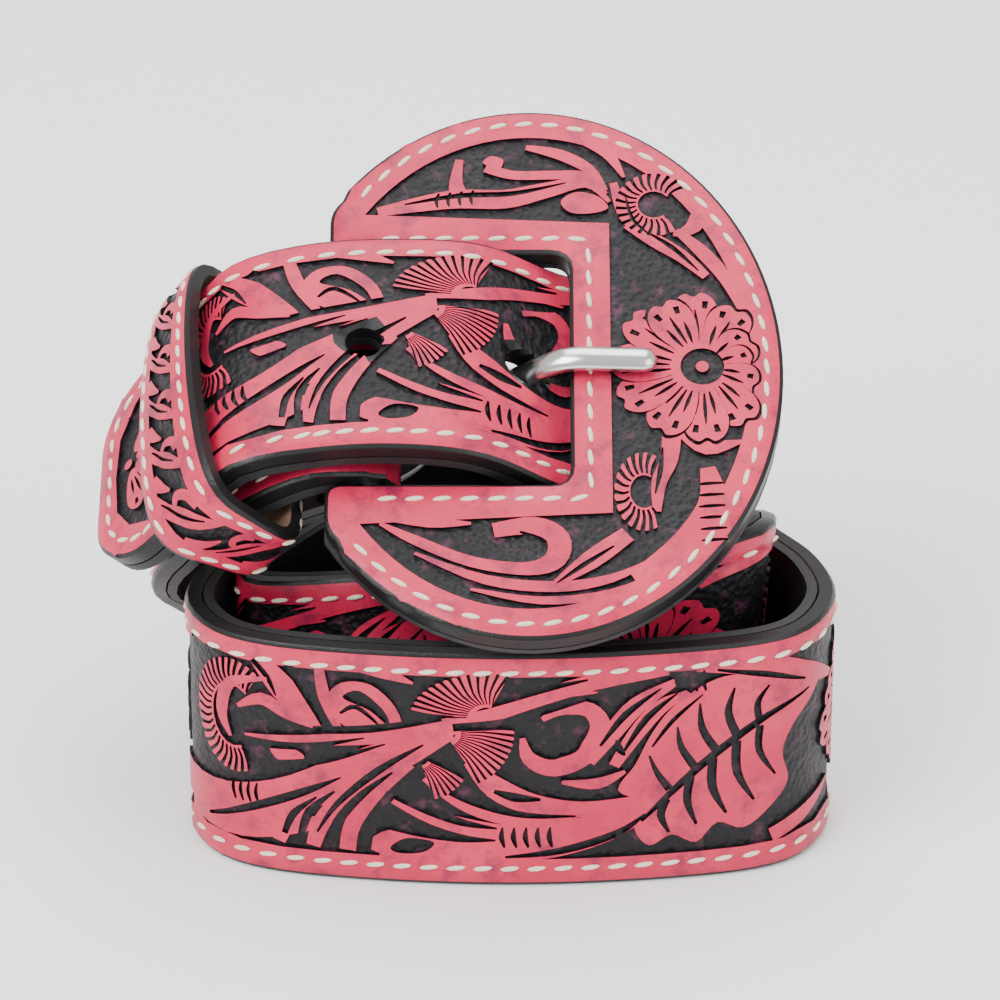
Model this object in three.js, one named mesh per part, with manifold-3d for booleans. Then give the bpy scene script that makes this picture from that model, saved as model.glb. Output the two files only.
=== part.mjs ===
import * as THREE from 'three';
import { mergeVertices } from 'three/addons/utils/BufferGeometryUtils.js';
import Module from 'manifold-3d';

const wasm = await Module();
wasm.setup();

// Driving dimensions, in millimetres and degrees.
// The belt stands coiled on its lower edge, in three turns, with its buckle done up on top.
const strapWidth = 38;
const faceLeather = 2.4;
const liningLeather = 1.5;
const gap = 0.3;
const layerGap = 1;
const loopWidth = 94.4;
const coilDepth = 60;
const tipCorner = 12;
const holeDiameter = 5.3;
const holePitch = 25;
const firstHole = 52.2;
const holeCount = 5;
const tabWidth = 36;
const tabSlotWidth = 6;
const plateHalfWidth = 37;
const plateHalfHeight = 46.3;
const plateThickness = 4;
const backingLeather = 1;
const plateLean = 59.5;
const armLength = 29.4;
const slotHeight = 40.5;
const slotDepth = 35.4;
const slotCorner = 3;
const armCorner = 2.5;
const barDiameter = 4;
const barInset = 29.3;
const barOverlap = 4.5;
const prongWidth = 4;
const prongThickness = 2.6;
const prongReach = 13;
const keeperWidth = 11;
const keeperWall = 2.2;
const keeperStart = 20.3;
const keeperHalfHeight = 22.2;
const keeperHalfDepth = 7.7;
const keeperDrop = 0.6;
const keeperSink = 4.6;
const keeperSwell = 2.2;

const strapThickness = faceLeather + gap + liningLeather;
const loopHalf = (loopWidth - strapThickness) / 2;
const barRadius = barDiameter / 2;

// The plate's own frame: u to the right, v up along the plate and n out of its face.
// Its middle lies on the slot's right edge, halfway up the slot.
const plateMiddle = new THREE.Vector3(0.185 * loopHalf, 0.617 * coilDepth, 1.7 * strapWidth);
const plateLeanAngle = THREE.MathUtils.degToRad(plateLean);
const plateU = new THREE.Vector3(1, 0, 0);
const plateV = new THREE.Vector3(0, Math.sin(plateLeanAngle), Math.cos(plateLeanAngle));
const plateN = new THREE.Vector3().crossVectors(plateU, plateV);

function onPlate(u, v, n) {
  return plateMiddle.clone().addScaledVector(plateU, u).addScaledVector(plateV, v).addScaledVector(plateN, n);
}

const plateCentreU = armLength - slotDepth + 0.4;
const slotEdge = plateCentreU - armLength + slotDepth;
const barU = slotEdge - barInset;
const barN = -plateThickness / 2 - gap - barRadius;

// A station is a point on the middle of the leather and the lean of its width, in degrees
// from upright towards the back.
function station(point, lean) {
  return [point.x, point.y, point.z, lean];
}

// Shares of half the loop's width, of the coil's depth and of the strap's width.
function coilStation([across, back, up, lean]) {
  return station(new THREE.Vector3(across * loopHalf, back * coilDepth, up * strapWidth), lean);
}

// The strap end, from its tip through the keeper:  across, back, up, lean
const tipRun = [
  [-1.323, 0.693, 1.097, 71],
  [-1.145, 0.645, 1.325, 69],
  [-1.012, 0.577, 1.58, 63.5],
  [-0.884, 0.542, 1.75, 65],
  [-0.665, 0.558, 1.824, 63],
].map(coilStation);

// The stretch over the bar and down under the plate's right side.
const underPlate = -(plateThickness / 2 + 2 * layerGap + strapThickness / 2);
const overBarU = -26;
const overBarN = 5.8;
const buckleRun = [
  station(onPlate(overBarU, 0.5, overBarN), 62.5),
  station(onPlate(-13, 0.7, 3.7), 61),
  station(onPlate(-1, 0.6, underPlate + 1.6), 59.5),
  station(onPlate(6, 0.6, underPlate), 59.5),
  station(onPlate(12, 0.6, underPlate - 1), 59.5),
];

// From the right turn under the plate down and round the coil, innermost turn first:
// across, back, up, lean
const coilRun = [
  [0.555, 0.695, 1.54, 59],
  [0.625, 0.742, 1.43, 56],
  [0.57, 0.79, 1.32, 53],
  [0.4, 0.775, 1.2, 43],
  [0.177, 0.742, 1.01, 32],
  [-0.089, 0.667, 0.782, 19],
  [-0.355, 0.625, 0.645, 11],
  [-0.599, 0.567, 0.547, 5],
  [-0.772, 0.503, 0.505, 1],
  [-0.847, 0.433, 0.505, 1],
  [-0.772, 0.367, 0.508, 4],
  [-0.443, 0.308, 0.553, 9],
  [0, 0.25, 0.632, 10],
  [0.443, 0.25, 0.737, 5],
  [0.698, 0.303, 0.776, -3],
  [0.78, 0.425, 0.71, -3],
  [0.724, 0.564, 0.585, -1],
  [0.603, 0.727, 0.518, 1],
  [0.405, 0.835, 0.504, 1],
  [0.111, 0.883, 0.505, 2],
  [-0.2, 0.875, 0.501, 1],
  [-0.51, 0.8, 0.5, 0],
  [-0.776, 0.655, 0.5, 0],
  [-0.94, 0.492, 0.5, 0],
  [-1, 0.3, 0.5, 0],
  [-0.887, 0.15, 0.5, 0],
  [-0.599, 0.075, 0.5, 0],
  [0, 0.035, 0.5, 0],
  [0.599, 0.075, 0.5, 0],
  [0.887, 0.15, 0.5, 0],
  [1, 0.317, 0.5, 0],
  [0.964, 0.495, 0.5, 0],
  [0.855, 0.635, 0.5, 0],
  [0.69, 0.805, 0.501, 1],
  [0.465, 0.935, 0.503, 2],
  [0.155, 0.992, 0.509, 5],
  [-0.177, 1.038, 0.51, 9],
  [-0.494, 1.061, 0.565, 18],
  [-0.805, 1.006, 0.771, 32],
  [-1.103, 0.837, 1.049, 54],
  [-0.987, 0.675, 1.318, 75],
  [-0.826, 0.602, 1.549, 68],
  [-0.637, 0.598, 1.671, 64],
].map(coilStation);

// A smooth path through the stations, by the length along it.
class Route {
  constructor(stations) {
    this.rows = stations;
    this.lengths = [0];
    for (let i = 1; i < stations.length; i++) {
      const [a, b] = [stations[i - 1], stations[i]];
      this.lengths.push(this.lengths[i - 1] + Math.hypot(b[0] - a[0], b[1] - a[1], b[2] - a[2]));
    }
    this.length = this.lengths.at(-1);
    const last = stations.length - 1;
    this.slopes = stations.map((_, i) => {
      const [low, high] = [Math.max(i - 1, 0), Math.min(i + 1, last)];
      const run = this.lengths[high] - this.lengths[low];
      return stations[i].map((_, k) => (stations[high][k] - stations[low][k]) / run);
    });
  }

  // The middle of the leather, and the directions along it, across its width and out of its face.
  at(s) {
    let i = 0;
    while (i < this.rows.length - 2 && s > this.lengths[i + 1]) i++;
    const h = this.lengths[i + 1] - this.lengths[i];
    const u = (s - this.lengths[i]) / h;
    const value = [];
    const rate = [];
    for (let k = 0; k < 4; k++) {
      const [a, b] = [this.rows[i][k], this.rows[i + 1][k]];
      const [p, q] = [this.slopes[i][k] * h, this.slopes[i + 1][k] * h];
      value.push((2 * u ** 3 - 3 * u ** 2 + 1) * a + (u ** 3 - 2 * u ** 2 + u) * p
        + (3 * u ** 2 - 2 * u ** 3) * b + (u ** 3 - u ** 2) * q);
      rate.push((6 * u ** 2 - 6 * u) * (a - b) + (3 * u ** 2 - 4 * u + 1) * p + (3 * u ** 2 - 2 * u) * q);
    }
    const lean = THREE.MathUtils.degToRad(value[3]);
    const along = new THREE.Vector3(rate[0], rate[1], rate[2]).normalize();
    const across = new THREE.Vector3(0, Math.sin(lean), Math.cos(lean));
    across.addScaledVector(along, -across.dot(along)).normalize();
    const out = new THREE.Vector3().crossVectors(along, across);
    return { point: new THREE.Vector3(value[0], value[1], value[2]), along, across, out, lean: value[3] };
  }

  place(s, w, z) {
    const { point, across, out } = this.at(s);
    return point.addScaledVector(across, w).addScaledVector(out, z);
  }

  // Lengths at which the leather gets a section: close together where it turns.
  sections(from, to) {
    const turnStep = THREE.MathUtils.degToRad(12);
    const twistStep = THREE.MathUtils.degToRad(5);
    const longest = 7;
    const stops = [from, ...this.lengths.filter((s) => s > from + 0.5 && s < to - 0.5), to];
    const list = [from];
    for (let i = 1; i < stops.length; i++) {
      const [a, b] = [stops[i - 1], stops[i]];
      const bend = this.at(a).along.angleTo(this.at(b).along);
      const twist = this.at(a).across.angleTo(this.at(b).across);
      const parts = Math.max(
        Math.ceil((b - a) / longest),
        Math.ceil(bend / turnStep),
        Math.ceil(twist / twistStep),
      );
      for (let j = 1; j <= parts; j++) list.push(a + ((b - a) * j) / parts);
    }
    return list;
  }
}

// Under the strap end the tab folds round the bar and comes back behind its own leather.
const foldRadius = barRadius + gap + (faceLeather - strapThickness / 2);
const foldRun = [90, 45, 0, -45, -90].map((degrees) => {
  const turn = THREE.MathUtils.degToRad(degrees);
  const u = barU + foldRadius * Math.cos(turn);
  return station(onPlate(u, 0, barN + foldRadius * Math.sin(turn)), plateLean);
});
const tabTurn = station(onPlate(barU - barDiameter, 0, barN - foldRadius - gap), plateLean);
const tabEnd = coilStation([-0.631, 0.647, 1.604, 63]);
const endRun = [...foldRun, tabTurn, tabEnd];

const belt = new Route([...tipRun, ...buckleRun, ...coilRun, ...endRun]);
const foldStations = foldRun.length + 2;
const tabStart = belt.lengths.at(-1 - foldStations);

function halfWidth(s) {
  const half = strapWidth / 2;
  if (s < tipCorner) return half - tipCorner + Math.sqrt(tipCorner ** 2 - (tipCorner - s) ** 2);
  const shoulder = 4;
  const narrowed = THREE.MathUtils.clamp((s - tabStart) / shoulder, 0, 1);
  return half + (tabWidth / 2 - half) * narrowed;
}

// Closed meshes built from rings of points, each ring the same way round. The second half of a
// ring splits its quads the other way, so that the two sides of a twisted layer stay parallel.
function loft(rings, closed = false) {
  const count = rings[0].length;
  const positions = rings.flatMap((ring) => ring.flatMap((p) => [p.x, p.y, p.z]));
  const index = [];
  const bands = closed ? rings.length : rings.length - 1;
  for (let i = 0; i < bands; i++) {
    const next = (i + 1) % rings.length;
    for (let j = 0; j < count; j++) {
      const k = (j + 1) % count;
      const corners = [i * count + j, i * count + k, next * count + k, next * count + j];
      const [a, b, c, d] = j < count / 2 ? corners : [...corners.slice(1), corners[0]];
      index.push(a, b, c);
      index.push(a, c, d);
    }
  }
  if (!closed) {
    const end = (rings.length - 1) * count;
    for (let j = 1; j < count - 1; j++) {
      index.push(0, j + 1, j);
      index.push(end, end + j, end + j + 1);
    }
  }
  const geometry = new THREE.BufferGeometry();
  geometry.setAttribute('position', new THREE.Float32BufferAttribute(positions, 3));
  geometry.setIndex(index);
  return geometry;
}

function toSolid(geometry) {
  const bare = geometry.clone();
  bare.deleteAttribute('normal');
  bare.deleteAttribute('uv');
  const merged = mergeVertices(bare, 1e-4);
  return new wasm.Manifold(new wasm.Mesh({
    numProp: 3,
    vertProperties: new Float32Array(merged.attributes.position.array),
    triVerts: new Uint32Array(merged.index.array),
  }));
}

function toGeometry(solid) {
  const mesh = solid.getMesh();
  const geometry = new THREE.BufferGeometry();
  geometry.setAttribute('position', new THREE.BufferAttribute(mesh.vertProperties, 3));
  geometry.setIndex(new THREE.BufferAttribute(mesh.triVerts, 1));
  return geometry;
}

// One layer of the belt, between two heights above the middle of the leather.
function leatherLayer(from, to, low, high) {
  const rings = belt.sections(from, to).map((s) => {
    const half = halfWidth(s);
    const profile = [[-half, low], [0, low], [half, low], [half, high], [0, high], [-half, high]];
    return profile.map(([w, z]) => belt.place(s, w, z));
  });
  return toSolid(loft(rings));
}

// Prong: a hook round the bar, then an arm up through the strap and over the plate's right side.
const hookRadius = barRadius + gap + prongThickness / 2;
const onFace = plateThickness / 2 + gap + prongThickness / 2;

function prongPath() {
  const points = [];
  for (let degrees = 80; degrees <= 310; degrees += 23) {
    const turn = THREE.MathUtils.degToRad(degrees);
    points.push([barU + hookRadius * Math.cos(turn), barN + hookRadius * Math.sin(turn)]);
  }
  points.push([-22, -5.5], [-11, -3.2], [-7, -1], [-2.2, onFace - 0.8]);
  points.push([1.2, onFace + 0.4], [6, onFace + 0.3], [prongReach, onFace]);
  return new THREE.CatmullRomCurve3(points.map(([u, n]) => new THREE.Vector3(u, 0, n)), false, 'centripetal');
}

function prongSolid(clearance) {
  const path = prongPath();
  const steps = 44;
  const sides = 10;
  const rings = [];
  for (let i = 0; i <= steps; i++) {
    const share = i / steps;
    const p = path.getPointAt(share);
    const t = path.getTangentAt(share);
    const fromEnd = (1 - share) * path.getLength();
    const taper = fromEnd < prongWidth / 2
      ? Math.max(0.35, Math.sqrt(1 - (1 - (2 * fromEnd) / prongWidth) ** 2))
      : 1;
    const ring = [];
    for (let j = 0; j < sides; j++) {
      const turn = (2 * Math.PI * j) / sides;
      const v = (prongWidth / 2 + clearance) * taper * Math.cos(turn);
      const n = (prongThickness / 2 + clearance) * taper * Math.sin(turn);
      ring.push(onPlate(p.x - t.z * n, v, p.z + t.x * n));
    }
    rings.push(ring);
  }
  return toSolid(loft(rings));
}

const layerTop = strapThickness / 2;
const holes = [];
for (let i = 0; i < holeCount; i++) {
  const s = firstHole + i * holePitch;
  const { point, along, across, out } = belt.at(s);
  const hole = new THREE.CylinderGeometry(holeDiameter / 2, holeDiameter / 2, 2 * strapThickness, 16);
  hole.applyMatrix4(new THREE.Matrix4().makeBasis(across, out, along).setPosition(point));
  holes.push(toSolid(hole));
}

// Slot through both thicknesses of the folded tab, where the prong's hook sits.
const slotLeft = barU - hookRadius - prongThickness;
const slotRight = barU + hookRadius + prongThickness;
const slotBottom = barN - hookRadius - prongThickness;
const slotTop = overBarN - strapThickness / 2 - gap;
const tabSlot = toSolid(new THREE.BoxGeometry(slotRight - slotLeft, tabSlotWidth, slotTop - slotBottom).applyMatrix4(
  new THREE.Matrix4().makeBasis(plateU, plateV, plateN)
    .setPosition(onPlate((slotLeft + slotRight) / 2, 0, (slotTop + slotBottom) / 2))));

const cutters = [...holes, prongSolid(gap)];
let face = leatherLayer(0, belt.length, layerTop - faceLeather, layerTop).subtract(tabSlot);
let lining = leatherLayer(0, tabStart, -layerTop, -layerTop + liningLeather);
for (const cutter of cutters) {
  face = face.subtract(cutter);
  lining = lining.subtract(cutter);
}

// Keeper: a closed loop round the strap end and the layer under it. The stiff leather spans the
// bend in two straight lengths, so that its far side doesn't fold where the strap curves tightly.
function keeperRing(s) {
  const sides = 28;
  const square = 0.3;
  const ring = (grow) => Array.from({ length: sides }, (_, j) => {
    const turn = (2 * Math.PI * j) / sides;
    const [c, q] = [Math.cos(turn), Math.sin(turn)];
    const w = (keeperHalfHeight + grow) * Math.sign(c) * Math.abs(c) ** square;
    const z = (keeperHalfDepth + grow) * Math.sign(q) * Math.abs(q) ** square;
    const swell = q > 0 ? keeperSwell * (1 - (w / (keeperHalfHeight + grow)) ** 2) : 0;
    return belt.place(s, w - keeperDrop, z + swell - keeperSink);
  });
  return { inner: ring(0), outer: ring(keeperWall) };
}

function keeperSolid() {
  const spans = 2;
  const rings = Array.from({ length: spans + 1 }, (_, i) => {
    return keeperRing(keeperStart + (keeperWidth * i) / spans);
  });
  const sections = rings[0].inner.map((_, j) => [
    ...rings.map((ring) => ring.inner[j]),
    ...rings.map((ring) => ring.outer[j]).reverse(),
  ]);
  return toSolid(loft(sections, true));
}

// C-shaped plate: an ellipse cut straight at the arm ends, with a slot open to the left.
function plateShape() {
  const left = plateCentreU - armLength;
  const angle = Math.acos(-armLength / plateHalfWidth);
  const reach = plateHalfHeight * Math.sin(angle);
  const half = slotHeight / 2;
  const shape = new THREE.Shape();
  shape.moveTo(left, -half - armCorner);
  shape.lineTo(left, -reach);
  shape.absellipse(plateCentreU, 0, plateHalfWidth, plateHalfHeight, -angle, angle, false);
  shape.lineTo(left, half + armCorner);
  shape.quadraticCurveTo(left, half, left + armCorner, half);
  const right = left + slotDepth;
  shape.lineTo(right - slotCorner, half);
  shape.quadraticCurveTo(right, half, right, half - slotCorner);
  shape.lineTo(right, -half + slotCorner);
  shape.quadraticCurveTo(right, -half, right - slotCorner, -half);
  shape.lineTo(left + armCorner, -half);
  shape.quadraticCurveTo(left, -half, left, -half - armCorner);
  return shape;
}

function plateLayer(low, high) {
  const geometry = new THREE.ExtrudeGeometry(plateShape(), {
    depth: high - low,
    bevelEnabled: false,
    curveSegments: 32,
  });
  return geometry.applyMatrix4(new THREE.Matrix4().makeBasis(plateU, plateV, plateN).setPosition(onPlate(0, 0, low)));
}

const plateFace = plateThickness / 2;
const cover = toSolid(plateLayer(-plateFace + backingLeather + gap, plateFace));
const backing = toSolid(plateLayer(-plateFace, -plateFace + backingLeather));

const barLength = slotHeight + 2 * barOverlap;
const bar = toSolid(new THREE.CylinderGeometry(barRadius, barRadius, barLength, 20).applyMatrix4(
  new THREE.Matrix4().makeBasis(plateU, plateV, plateN).setPosition(onPlate(barU, 0, barN))));

const finishes = {
  tooledLeather: { color: '#ee5f76', roughness: 0.45, metalness: 0 },
  blackLeather: { color: '#1f1e20', roughness: 0.7, metalness: 0 },
  nickel: { color: '#c9c9c6', roughness: 0.18, metalness: 1 },
};

const pieces = [
  ['tooled_strap', face, 'tooledLeather'],
  ['strap_lining', lining, 'blackLeather'],
  ['keeper', keeperSolid(), 'tooledLeather'],
  ['buckle_cover', cover, 'tooledLeather'],
  ['buckle_backing', backing, 'blackLeather'],
  ['buckle_bar', bar, 'nickel'],
  ['prong', prongSolid(0), 'nickel'],
];

const group = new THREE.Group();
for (const [name, solid, finish] of pieces) {
  const mesh = new THREE.Mesh(toGeometry(solid), new THREE.MeshStandardMaterial(finishes[finish]));
  mesh.name = name;
  group.add(mesh);
}

// The origin is the middle of the footprint, on the surface that the belt stands on.
const box = new THREE.Box3().setFromObject(group);
const middle = box.getCenter(new THREE.Vector3());
for (const mesh of group.children) mesh.position.set(-middle.x, -middle.y, -box.min.z);

export default group;
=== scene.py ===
import math
import bmesh
import bpy
import numpy as np
from mathutils import Matrix, Vector
from mathutils.geometry import delaunay_2d_cdt


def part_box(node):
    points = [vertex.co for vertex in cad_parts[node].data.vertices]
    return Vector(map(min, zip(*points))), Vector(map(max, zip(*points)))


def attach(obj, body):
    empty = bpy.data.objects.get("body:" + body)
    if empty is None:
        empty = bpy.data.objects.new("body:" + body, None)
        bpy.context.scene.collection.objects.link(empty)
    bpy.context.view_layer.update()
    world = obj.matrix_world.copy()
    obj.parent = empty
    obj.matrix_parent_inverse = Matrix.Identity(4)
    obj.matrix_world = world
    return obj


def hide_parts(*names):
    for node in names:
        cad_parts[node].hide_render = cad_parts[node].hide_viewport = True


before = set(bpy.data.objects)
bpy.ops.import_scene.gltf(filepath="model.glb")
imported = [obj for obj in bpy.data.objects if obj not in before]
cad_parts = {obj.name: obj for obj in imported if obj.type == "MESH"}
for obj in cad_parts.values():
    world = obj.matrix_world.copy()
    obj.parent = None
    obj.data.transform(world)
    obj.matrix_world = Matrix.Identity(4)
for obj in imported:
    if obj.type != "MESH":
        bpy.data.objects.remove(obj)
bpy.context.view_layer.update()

# The studio: a pale floor that runs into a pale surround, a large soft light from the upper left
# and two weaker ones, with the camera a little above the coiled belt.
aim = Vector((0.0055, -0.012, 0.0501))
camera_data = bpy.data.cameras.new("camera")
camera_data.lens = 186.1
camera_data.clip_start = 0.05
camera = bpy.data.objects.new("camera", camera_data)
camera.location = aim + 0.75 * Vector((0, -math.cos(math.radians(27)), math.sin(math.radians(27))))
camera.rotation_euler = (math.radians(63), 0, 0)
bpy.context.scene.collection.objects.link(camera)
bpy.context.scene.camera = camera

for name, place, size, power in (
    ("key", (-0.55, -0.55, 0.95), 0.7, 17.0),
    ("fill", (0.8, -0.6, 0.6), 0.8, 6.0),
    ("top", (0.05, 0.35, 1.0), 0.8, 9.0),
):
    light_data = bpy.data.lights.new(name, "AREA")
    light_data.size = size
    light_data.energy = power
    light = bpy.data.objects.new(name, light_data)
    light.location = place
    light.rotation_euler = (Vector((0, 0, 0.04)) - Vector(place)).to_track_quat("-Z", "Y").to_euler()
    bpy.context.scene.collection.objects.link(light)

surround = bpy.data.worlds.new("surround")
surround.use_nodes = True
surround.node_tree.nodes["Background"].inputs["Color"].default_value = (1, 1, 1, 1)
surround.node_tree.nodes["Background"].inputs["Strength"].default_value = 1.0
bpy.context.scene.world = surround

floor_half = 4
floor_level = -0.0002
floor_corners = [(x * floor_half, y * floor_half, floor_level)
                 for x, y in ((-1, -1), (1, -1), (1, 1), (-1, 1))]
floor_mesh = bpy.data.meshes.new("floor")
floor_mesh.from_pydata(floor_corners, [], [(0, 1, 2, 3)])
floor = bpy.data.objects.new("floor", floor_mesh)
floor_paint = bpy.data.materials.new("floor_paint")
floor_paint.use_nodes = True
floor_paint.node_tree.nodes["Principled BSDF"].inputs["Base Color"].default_value = (0.93, 0.93, 0.93, 1)
floor_paint.node_tree.nodes["Principled BSDF"].inputs["Roughness"].default_value = 0.9
floor_mesh.materials.append(floor_paint)
bpy.context.scene.collection.objects.link(floor)

# The strap's face: one length of thick leather with a rounded tip, five prong holes and a tab that
# folds round the bar. It stands on edge through its turns, and a floral pattern repeats along it,
# cut with a knife, with its ground beaten down and dyed black.
mm = 0.001
strap_width = 38 * mm
face_leather = 2.4 * mm
gap = 0.3 * mm
strap_thickness = 4.2 * mm
loop_half = 45.1 * mm
coil_depth = 60 * mm
plate_thickness = 4 * mm
plate_lean = math.radians(59.5)
plate_middle = Vector((0.185 * loop_half, 0.617 * coil_depth, 1.7 * strap_width))
plate_u = Vector((1, 0, 0))
plate_v = Vector((0, math.sin(plate_lean), math.cos(plate_lean)))
plate_n = plate_u.cross(plate_v)
bar_radius = 2 * mm
bar_u = -28.9 * mm
bar_n = -plate_thickness / 2 - gap - bar_radius
bar_low, bar_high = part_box("buckle_bar")
shift = (bar_low + bar_high) / 2 - (plate_middle + plate_u * bar_u + plate_n * bar_n)


def on_plate(u, v, n):
    return plate_middle + plate_u * u + plate_v * v + plate_n * n


# Stations along the middle of the leather. plate_station holds places on the buckle plate, and
# coil_station shares of the loop's half width, the coil's depth and the strap's width.
def plate_station(u, v, n, lean):
    return [*on_plate(u * mm, v * mm, n * mm), lean]


def coil_station(across, back, up, lean):
    return [across * loop_half, back * coil_depth, up * strap_width, lean]


under_plate = -6.1
stations = [coil_station(*row) for row in (
    (-1.323, 0.693, 1.097, 71), (-1.145, 0.645, 1.325, 69), (-1.012, 0.577, 1.58, 63.5),
    (-0.884, 0.542, 1.75, 65), (-0.665, 0.558, 1.824, 63))]
stations += [plate_station(*row) for row in (
    (-26, 0.5, 5.8, 62.5), (-13, 0.7, 3.7, 61), (-1, 0.6, under_plate + 1.6, 59.5),
    (6, 0.6, under_plate, 59.5), (12, 0.6, under_plate - 1, 59.5))]
stations += [coil_station(*row) for row in (
    (0.555, 0.695, 1.54, 59), (0.625, 0.742, 1.43, 56), (0.57, 0.79, 1.32, 53),
    (0.4, 0.775, 1.2, 43), (0.177, 0.742, 1.01, 32), (-0.089, 0.667, 0.782, 19),
    (-0.355, 0.625, 0.645, 11), (-0.599, 0.567, 0.547, 5), (-0.772, 0.503, 0.505, 1),
    (-0.847, 0.433, 0.505, 1), (-0.772, 0.367, 0.508, 4), (-0.443, 0.308, 0.553, 9),
    (0, 0.25, 0.632, 10), (0.443, 0.25, 0.737, 5), (0.698, 0.303, 0.776, -3),
    (0.78, 0.425, 0.71, -3), (0.724, 0.564, 0.585, -1), (0.603, 0.727, 0.518, 1),
    (0.405, 0.835, 0.504, 1), (0.111, 0.883, 0.505, 2), (-0.2, 0.875, 0.501, 1),
    (-0.51, 0.8, 0.5, 0), (-0.776, 0.655, 0.5, 0), (-0.94, 0.492, 0.5, 0),
    (-1, 0.3, 0.5, 0), (-0.887, 0.15, 0.5, 0), (-0.599, 0.075, 0.5, 0),
    (0, 0.035, 0.5, 0), (0.599, 0.075, 0.5, 0), (0.887, 0.15, 0.5, 0),
    (1, 0.317, 0.5, 0), (0.964, 0.495, 0.5, 0), (0.855, 0.635, 0.5, 0),
    (0.69, 0.805, 0.501, 1), (0.465, 0.935, 0.503, 2), (0.155, 0.992, 0.509, 5),
    (-0.177, 1.038, 0.51, 9), (-0.494, 1.061, 0.565, 18), (-0.805, 1.006, 0.771, 32),
    (-1.103, 0.837, 1.049, 54), (-0.987, 0.675, 1.318, 75), (-0.826, 0.602, 1.549, 68),
    (-0.637, 0.598, 1.671, 64))]
fold_radius = bar_radius + gap + face_leather - strap_thickness / 2
for turn in (90, 45, 0, -45, -90):
    turn = math.radians(turn)
    fold = on_plate(bar_u + fold_radius * math.cos(turn), 0, bar_n + fold_radius * math.sin(turn))
    stations.append([*fold, 59.5])
stations.append([*on_plate(bar_u - 2 * bar_radius, 0, bar_n - fold_radius - gap), 59.5])
stations.append(coil_station(-0.631, 0.647, 1.604, 63))
rows = np.array(stations)
chords = np.linalg.norm(np.diff(rows[:, :3], axis=0), axis=1)
lengths = np.concatenate([[0], np.cumsum(chords)])
low_row = np.maximum(np.arange(len(rows)) - 1, 0)
high_row = np.minimum(np.arange(len(rows)) + 1, len(rows) - 1)
slopes = (rows[high_row] - rows[low_row]) / (lengths[high_row] - lengths[low_row])[:, None]
belt_length = lengths[-1]
tab_start = lengths[-8]


def belt_frames(s):
    """The middle of the leather at the lengths s, and its directions along, across and out."""
    s = np.atleast_1d(np.asarray(s, float))
    i = np.clip(np.searchsorted(lengths, s, side="right") - 1, 0, len(rows) - 2)
    h = (lengths[i + 1] - lengths[i])[:, None]
    u = (s - lengths[i])[:, None] / h
    a, b, p, q = rows[i], rows[i + 1], slopes[i] * h, slopes[i + 1] * h
    value = (2 * u**3 - 3 * u**2 + 1) * a + (u**3 - 2 * u**2 + u) * p
    value = value + (3 * u**2 - 2 * u**3) * b + (u**3 - u**2) * q
    rate = (6 * u**2 - 6 * u) * (a - b) + (3 * u**2 - 4 * u + 1) * p + (3 * u**2 - 2 * u) * q
    along = rate[:, :3] / np.linalg.norm(rate[:, :3], axis=1, keepdims=True)
    lean = np.radians(value[:, 3])
    across = np.stack([np.zeros_like(lean), np.sin(lean), np.cos(lean)], 1)
    across -= along * (along * across).sum(1, keepdims=True)
    across /= np.linalg.norm(across, axis=1, keepdims=True)
    return value[:, :3] + np.array(shift), along, across, np.cross(along, across)


def belt_at(s, w, z):
    """Points on the belt, with the directions along it, across it and out of its face."""
    point, along, across, out = belt_frames(s)
    return point + across * np.atleast_1d(w)[:, None] + out * np.atleast_1d(z)[:, None], along, across, out


def smooth(points, closed=False, step=5):
    """Points along a Catmull-Rom curve through the given ones."""
    p = np.array(points, float)
    n = len(p)
    out = []
    for i in range(n if closed else n - 1):
        if closed:
            a, b, c, d = p[(i - 1) % n], p[i], p[(i + 1) % n], p[(i + 2) % n]
        else:
            a, b, c, d = p[max(i - 1, 0)], p[i], p[i + 1], p[min(i + 2, n - 1)]
        for t in np.arange(step) / step:
            bend = (2 * a - 5 * b + 4 * c - d) * t**2 + (3 * b - a - 3 * c + d) * t**3
            out.append(0.5 * (2 * b + (c - a) * t + bend))
    if not closed:
        out.append(p[-1])
    return np.array(out)


def stroke(points, widths, step=4):
    """The outline of a brush-like stroke through the points, with the given widths."""
    line = smooth([(*p, w) for p, w in zip(points, widths)], step=step)
    tangent = np.gradient(line[:, :2], axis=0)
    tangent /= np.maximum(np.linalg.norm(tangent, axis=1, keepdims=True), 1e-9)
    side = np.stack([-tangent[:, 1], tangent[:, 0]], 1) * np.maximum(line[:, 2:3], 0.16) / 2
    return np.concatenate([line[:, :2] - side, (line[:, :2] + side)[::-1]])


def ring_point(hub, radii, degrees):
    turn = math.radians(degrees)
    return (hub[0] + radii[0] * math.cos(turn), hub[1] + radii[1] * math.sin(turn))


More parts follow.
